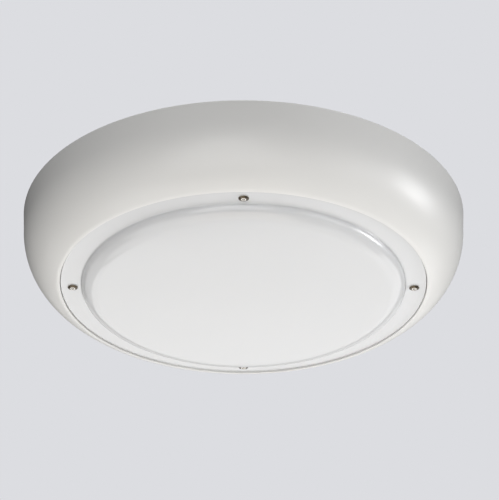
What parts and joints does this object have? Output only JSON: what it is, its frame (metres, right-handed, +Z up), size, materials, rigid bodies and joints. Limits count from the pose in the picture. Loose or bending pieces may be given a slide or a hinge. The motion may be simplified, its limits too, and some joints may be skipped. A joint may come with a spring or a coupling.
{
  "type": "ceiling luminaire",
  "caption": "Round surface-mounted ceiling luminaire: a deep painted shell over LED gear, closed by a flanged opal diffuser that security screws hold.",
  "frame": {"origin": "centre of the body, in the plane of the rear face that meets the ceiling", "axes": "+Z points up into the ceiling, so the luminaire hangs in -Z; -Y is the side that faces a viewer who looks along +Y, and +X is to that viewer's right; the cover screws lie on X and Y"},
  "size_m": [0.42, 0.42, 0.0885],
  "materials": {
    "powder_white": "satin warm white powder coat, fine texture",
    "opal": "gloss opal moulding, light diffusing",
    "stainless": "polished stainless",
    "zinc_steel": "bright zinc plated",
    "black_rubber": "matte moulded rubber",
    "nylon": "natural nylon",
    "tray_white": "matte reflective white",
    "board_white": "white solder mask",
    "driver_case": "fine spark texture",
    "wire_brown": "extruded insulation",
    "wire_blue": "extruded insulation",
    "wire_red": "extruded insulation",
    "wire_black": "extruded insulation",
    "wire_green": "extruded insulation"
  },
  "bodies": {
    "base": {"back_plate": "zinc_steel", "board_connector": "nylon", "board_screw_1": "zinc_steel", "board_screw_2": "zinc_steel", "board_screw_3": "zinc_steel", "board_screw_4": "zinc_steel", "cable_grommet": "black_rubber", "cover_gasket": "black_rubber", "cover_insert_1": "zinc_steel", "cover_insert_2": "zinc_steel", "cover_insert_3": "zinc_steel", "cover_insert_4": "zinc_steel", "driver_screw_1": "zinc_steel", "driver_screw_2": "zinc_steel", "driver_standoff_1": "zinc_steel", "driver_standoff_2": "zinc_steel", "earth_nut": "zinc_steel", "earth_stud": "zinc_steel", "earth_tag": "zinc_steel", "earth_washer": "zinc_steel", "earth_wire": "wire_green", "gear_tray": "tray_white", "led_board": "board_white", "led_driver": "driver_case", "led_minus_wire": "wire_black", "led_plus_wire": "wire_red", "live_wire": "wire_brown", "neutral_wire": "wire_blue", "outer_shell": "powder_white", "shell_rivet_1": "zinc_steel", "shell_rivet_2": "zinc_steel", "shell_rivet_3": "zinc_steel", "shell_rivet_4": "zinc_steel", "shell_rivet_5": "zinc_steel", "shell_rivet_6": "zinc_steel", "terminal_block": "nylon", "terminal_clamp_1": "zinc_steel", "terminal_clamp_2": "zinc_steel", "terminal_clamp_3": "zinc_steel", "terminal_clamp_4": "zinc_steel", "terminal_screw": "zinc_steel", "terminal_standoff": "zinc_steel", "tray_bush": "black_rubber", "tray_pillar_1": "zinc_steel", "tray_pillar_2": "zinc_steel", "tray_pillar_3": "zinc_steel", "tray_pillar_4": "zinc_steel", "tray_screw_1": "zinc_steel", "tray_screw_2": "zinc_steel", "tray_screw_3": "zinc_steel", "tray_screw_4": "zinc_steel"},
    "cover": {"diffuser": "opal"},
    "screw_washer_1": {"cover_washer_1": "nylon"},
    "screw_1": {"cover_screw_1": "stainless"},
    "screw_washer_2": {"cover_washer_2": "nylon"},
    "screw_2": {"cover_screw_2": "stainless"},
    "screw_washer_3": {"cover_washer_3": "nylon"},
    "screw_3": {"cover_screw_3": "stainless"},
    "screw_washer_4": {"cover_washer_4": "nylon"},
    "screw_4": {"cover_screw_4": "stainless"}
  },
  "joints": [
    {"name": "cover_slide", "type": "slide", "parent": "base", "child": "cover", "axis": [0, 0, -1], "range_m": [0, 0.15]},
    {"name": "screw_1_travel", "type": "slide", "parent": "cover", "child": "screw_washer_1", "axis": [0, 0, -1], "range_m": [0, 0.0128]},
    {"name": "screw_1_turn", "type": "hinge", "parent": "screw_washer_1", "child": "screw_1", "pos_m": [0.161, 0, -0.0737], "axis": [0, 0, -1], "range_deg": [0, 5760]},
    {"name": "screw_2_travel", "type": "slide", "parent": "cover", "child": "screw_washer_2", "axis": [0, 0, -1], "range_m": [0, 0.0128]},
    {"name": "screw_2_turn", "type": "hinge", "parent": "screw_washer_2", "child": "screw_2", "pos_m": [0, 0.161, -0.0737], "axis": [0, 0, -1], "range_deg": [0, 5760]},
    {"name": "screw_3_travel", "type": "slide", "parent": "cover", "child": "screw_washer_3", "axis": [0, 0, -1], "range_m": [0, 0.0128]},
    {"name": "screw_3_turn", "type": "hinge", "parent": "screw_washer_3", "child": "screw_3", "pos_m": [-0.161, 0, -0.0737], "axis": [0, 0, -1], "range_deg": [0, 5760]},
    {"name": "screw_4_travel", "type": "slide", "parent": "cover", "child": "screw_washer_4", "axis": [0, 0, -1], "range_m": [0, 0.0128]},
    {"name": "screw_4_turn", "type": "hinge", "parent": "screw_washer_4", "child": "screw_4", "pos_m": [0, -0.161, -0.0737], "axis": [0, 0, -1], "range_deg": [0, 5760]}
  ],
  "couplings": [
    {"joint": "screw_1_turn", "follows": "screw_1_travel", "rad_per_m": 7854},
    {"joint": "screw_2_turn", "follows": "screw_2_travel", "rad_per_m": 7854},
    {"joint": "screw_3_turn", "follows": "screw_3_travel", "rad_per_m": 7854},
    {"joint": "screw_4_turn", "follows": "screw_4_travel", "rad_per_m": 7854}
  ]
}
